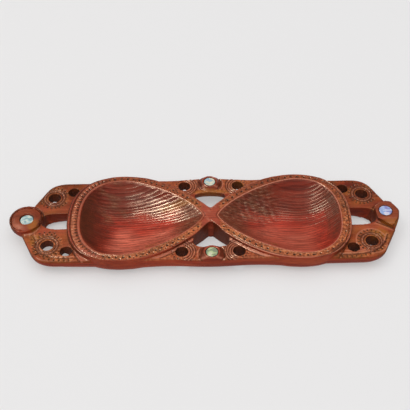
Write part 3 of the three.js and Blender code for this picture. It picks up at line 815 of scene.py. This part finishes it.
# Dark lines along the gouge strokes in the bowls are painted shade, and pale flecks where their
# wood is tan are painted highlights
painted_stroke_shade = shades(strokes, (0.50, BLACK), (0.62, (0.75, 0.75, 0.75)))
painted_stroke_shade = blend(attribute("bowl"), BLACK, painted_stroke_shade)
colour = blend(painted_stroke_shade, colour, blend(0.55, colour, (0.050, 0.008, 0.006)))
painted_highlight_flecks = shades(flecks, (0.52, BLACK), (0.66, (0.7, 0.7, 0.7)))
painted_highlight_flecks = blend(attribute("tan"), BLACK, blend(attribute("bowl"), BLACK, painted_highlight_flecks))
colour = blend(painted_highlight_flecks, colour, (0.46, 0.20, 0.11))

# Darker patches and fibres run through the whole board, and the border's punch marks are dark
darker = blend(0.35, colour, (0.13, 0.024, 0.008))
colour = blend(shades(patches, (0.35, BLACK), (0.7, WHITE)), colour, darker)
fibre_lines = shades(fibre, (0.45, BLACK), (0.7, (0.5, 0.5, 0.5)))
colour = blend(fibre_lines, colour, (0.08, 0.012, 0.005))
dented = blend(attribute("border"), BLACK, shades(punch_marks, (0.14, WHITE), (0.38, BLACK)))
colour = blend(dented, colour, blend(0.5, colour, (0.045, 0.014, 0.005)))

# A dot is dark out to 0.9 mm from its middle and gone at 1.5 mm, and narrower in a row with a
# closer pitch. Its middle lies halfway along each count of a row.
DOT_SCALE = 0.25
past_middle = arithmetic("SUBTRACT", arithmetic("FRACT", attribute("row_along")), 0.5)
row_place = nodes.new("ShaderNodeCombineXYZ")
links.new(arithmetic("MULTIPLY", past_middle, DOT_PITCH), row_place.inputs[0])
links.new(attribute("row_across"), row_place.inputs[1])
from_dot = nodes.new("ShaderNodeVectorMath")
from_dot.operation = "LENGTH"
links.new(row_place.outputs[0], from_dot.inputs[0])
near_dot = arithmetic("MULTIPLY", from_dot.outputs["Value"], DOT_SCALE)
dotted = shades(near_dot, (0.22, (0.95, 0.95, 0.95)), (0.38, BLACK))
colour = blend(dotted, colour, (0.045, 0.012, 0.005))

# End grain is darker, thick lacquer golden, ridges light from wear and painted highlight, and wax
# with painted shade lies over all of them
colour = blend(attribute("end_grain"), colour, blend(0.66, colour, (0.080, 0.022, 0.008)))
colour = blend(attribute("gold"), colour, blend(0.55, colour, (0.40, 0.14, 0.016)))
colour = blend(attribute("wear_and_highlight"), colour, blend(0.65, colour, (0.72, 0.27, 0.16)))
colour = blend(attribute("wax_and_shade"), colour, blend(0.82, colour, (0.062, 0.014, 0.006)))
links.new(colour, shader.inputs["Base Color"])
links.new(blend(dotted, attribute("gloss"), BLACK), shader.inputs["Coat Weight"])
fibre_bump = nodes.new("ShaderNodeBump")
fibre_bump.inputs["Strength"].default_value = 0.25
fibre_bump.inputs["Distance"].default_value = 0.0002
links.new(fibre, fibre_bump.inputs["Height"])
punch_bump = nodes.new("ShaderNodeBump")
punch_bump.inputs["Distance"].default_value = 0.0005
links.new(attribute("border"), punch_bump.inputs["Strength"])
links.new(shades(punch_marks, (0.1, BLACK), (0.6, WHITE)), punch_bump.inputs["Height"])
links.new(fibre_bump.outputs["Normal"], punch_bump.inputs["Normal"])
links.new(punch_bump.outputs["Normal"], shader.inputs["Normal"])
board.data.materials.clear()
board.data.materials.append(wood)
bpy.ops.object.select_all(action="DESELECT")
board.select_set(True)
bpy.context.view_layer.objects.active = board
bpy.ops.object.shade_smooth()
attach(board, "root")
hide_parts("carved_board")

# Shell discs: blanks of iridescent sea shell, ground flat, slightly domed and polished, with a
# softened edge. Each one shows its own colours. The dome rises in steps, each with its width and
# its share of the height.
DOME = 0.25 * MM
DISC_SIDES = 72
DOME_STEPS = ((0.35 * MM, 0.5), (1.6 * MM, 0.35), (2.4 * MM, 0.15))
SHEEN = ((0.55, 0.75, 0.78), (0.8, 0.82, 0.74), (0.78, 0.62, 0.74))
SHELL_COLOURS = {
    "left": ((0.08, 0.22, 0.24), (0.30, 0.51, 0.51), (0.60, 0.68, 0.57)),
    "right": ((0.15, 0.13, 0.50), (0.20, 0.36, 0.72), (0.66, 0.62, 0.78)),
    "front": ((0.10, 0.15, 0.03), (0.38, 0.52, 0.13), (0.62, 0.60, 0.36)),
    "back": ((0.20, 0.40, 0.52), (0.46, 0.54, 0.38), (0.76, 0.66, 0.46)),
}


def disc_blank(name, low, high):
    bpy.ops.object.select_all(action="DESELECT")
    bpy.ops.mesh.primitive_cylinder_add(
        vertices=DISC_SIDES,
        radius=(high.x - low.x) / 2,
        depth=high.z - low.z,
        location=(low + high) / 2,
    )
    piece = bpy.context.object
    piece.name = name
    bpy.ops.object.transform_apply(location=True, rotation=True, scale=True)
    return piece


def select_top(piece):
    bpy.ops.object.mode_set(mode="EDIT")
    bpy.ops.mesh.select_all(action="DESELECT")
    bpy.ops.object.mode_set(mode="OBJECT")
    for face in piece.data.polygons:
        face.select = face.normal.z > 0.9
    bpy.ops.object.mode_set(mode="EDIT")
    bpy.ops.mesh.select_mode(type="FACE")


for place_name, (deep, main, pale) in SHELL_COLOURS.items():
    low, high = (Vector(corner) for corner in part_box(f"shell_disc_{place_name}"))
    shell_disc = disc_blank(f"shell_inlay_{place_name}", low, high - Vector((0, 0, DOME)))
    select_top(shell_disc)
    for inset, rise in DOME_STEPS:
        bpy.ops.mesh.inset(thickness=inset)
        bpy.ops.transform.translate(value=(0, 0, rise * DOME))
    bpy.ops.object.mode_set(mode="OBJECT")
    bpy.ops.object.shade_smooth_by_angle(angle=math.radians(50))
    shell, nodes, links = material(f"shell_{place_name}")
    shader = nodes["Principled BSDF"]
    shader.inputs["Roughness"].default_value = 0.22
    shader.inputs["Coat Weight"].default_value = 0.5
    shader.inputs["Coat Roughness"].default_value = 0.06
    where = nodes.new("ShaderNodeTexCoord")
    cloud = stretched_noise((120, 170, 120), 3, 1.2)
    layers = stretched_noise((420, 160, 300), 2, 2.2)
    colour = shades(cloud, (0.40, deep), (0.5, main), (0.60, pale))
    sheen = shades(layers, *zip((0.35, 0.5, 0.65), SHEEN))
    links.new(blend(0.22, colour, sheen), shader.inputs["Base Color"])
    shell_disc.data.materials.append(shell)
    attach(shell_disc, "root")
    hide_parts(f"shell_disc_{place_name}")

# Filler: dark glue and wood dust that beds each disc in its drilled recess. It shows as a thin
# ring round the disc, a little below the wood.
FILLER_EDGE = 0.12 * MM
filler, nodes, links = material("dark_filler")
shader = nodes["Principled BSDF"]
shader.inputs["Roughness"].default_value = 0.6
where = nodes.new("ShaderNodeTexCoord")
dust = stretched_noise((900, 900, 900), 4)
dusty = shades(dust, (0.35, (0.012, 0.007, 0.004)), (0.7, (0.05, 0.026, 0.014)))
links.new(dusty, shader.inputs["Base Color"])
for place_name in SHELL_COLOURS:
    bed = copy_of_node(f"glue_bed_{place_name}", f"filler_bed_{place_name}")
    apply_modifier(bed, "BEVEL", width=FILLER_EDGE, segments=2, limit_method="ANGLE")
    bed.data.materials.clear()
    bed.data.materials.append(filler)
    bpy.ops.object.shade_smooth_by_angle(angle=math.radians(40))
    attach(bed, "root")
    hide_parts(f"glue_bed_{place_name}")

# Floor: a large sheet of pale paper. The camera and shiny pieces see it partly by a glow of its
# own, so that it stays even, and it keeps the tray's shadow.
PAPER_GLOW = 0.45
bpy.ops.object.select_all(action="DESELECT")
bpy.ops.mesh.primitive_plane_add(size=8, location=(0, 0, 0))
floor = bpy.context.object
floor.name = "floor"
floor_finish, nodes, links = material("floor_paper")
shader = nodes["Principled BSDF"]
shader.inputs["Base Color"].default_value = (0.83, 0.83, 0.83, 1)
shader.inputs["Roughness"].default_value = 0.9
shader.inputs["Specular IOR Level"].default_value = 0.1
paper_glow = nodes.new("ShaderNodeEmission")
paper_glow.inputs["Color"].default_value = (0.79, 0.78, 0.77, 1)
rays = nodes.new("ShaderNodeLightPath")
seen = arithmetic("MAXIMUM", rays.outputs["Is Camera Ray"], rays.outputs["Is Glossy Ray"])
seen = arithmetic("MAXIMUM", seen, rays.outputs["Is Transmission Ray"])
paper_mix = nodes.new("ShaderNodeMixShader")
links.new(arithmetic("MULTIPLY", seen, PAPER_GLOW), paper_mix.inputs[0])
links.new(shader.outputs[0], paper_mix.inputs[1])
links.new(paper_glow.outputs[0], paper_mix.inputs[2])
links.new(paper_mix.outputs[0], nodes["Material Output"].inputs["Surface"])
floor.data.materials.append(floor_finish)

# Studio: light that grows from the horizon to the zenith, walls that the lacquer mirrors as pale
# low down behind the tray and dark elsewhere, and a pale backdrop for the camera and for glass
LOW_SKY, MIDDLE_SKY, HIGH_SKY = (0.11, 0.11, 0.11), (0.50, 0.50, 0.51), (1.75, 1.75, 1.78)
DARK_WALL, PALE_WALL = (0.08, 0.08, 0.08), (0.24, 0.23, 0.22)
BACKDROP = (0.80, 0.79, 0.78)
world = bpy.data.worlds.new("studio")
world.use_nodes = True
nodes, links = world.node_tree.nodes, world.node_tree.links
where = nodes.new("ShaderNodeTexCoord")


def sky_toward(direction, *stops):
    toward = nodes.new("ShaderNodeVectorMath")
    toward.operation = "DOT_PRODUCT"
    toward.inputs[1].default_value = direction
    links.new(where.outputs["Generated"], toward.inputs[0])
    return shades(toward.outputs["Value"], *stops)


lighting = sky_toward((0, -0.1, 0.995), (0.1, LOW_SKY), (0.55, MIDDLE_SKY), (1, HIGH_SKY))
mirrored = sky_toward((-0.15, 0.95, -0.25), (0.3, DARK_WALL), (0.9, PALE_WALL))
rays = nodes.new("ShaderNodeLightPath")
room = blend(rays.outputs["Is Glossy Ray"], lighting, mirrored)
room = blend(rays.outputs["Is Transmission Ray"], room, BACKDROP)
room = blend(rays.outputs["Is Camera Ray"], room, BACKDROP)
links.new(room, nodes["Background"].inputs["Color"])
nodes["Background"].inputs["Strength"].default_value = 1
bpy.context.scene.world = world

# Lamps: one soft key lamp for the form, and three whose light only shines on the lacquer. The
# window, above and to the left, gives the bright strokes in the left bowl.
KEY = ((-1.05, -0.25, 2.1), (1.0, 0.6), 5, (1, 0.93, 0.86), 0.0)
SHINE = {
    "window": ((-1.10, 0.0, 2.10), (0.55, 1.15), 82, (1, 0.79, 0.55), math.radians(12)),
    "ceiling": ((0.62, 0.12, 2.25), (0.8, 1.2), 9, (1, 0.80, 0.52), 0.0),
    "low_left": ((-1.85, 0.75, 1.2), (1.3, 0.9), 10, (1, 0.82, 0.60), 0.0),
}


def softbox(name, place, size, energy, colour, turn):
    facing_tray = (-Vector(place)).to_track_quat("-Z", "Y") @ Quaternion((0, 0, 1), turn)
    bpy.ops.object.light_add(type="AREA", location=place)
    lamp = bpy.context.object
    lamp.name = name
    lamp.data.shape = "RECTANGLE"
    lamp.data.size, lamp.data.size_y = size
    lamp.data.energy = energy
    lamp.data.color = colour
    lamp.rotation_euler = facing_tray.to_euler()
    return lamp


softbox("key", *KEY)
for name, settings in SHINE.items():
    softbox(name, *settings).visible_diffuse = False
bpy.context.scene.view_settings.view_transform = "Standard"
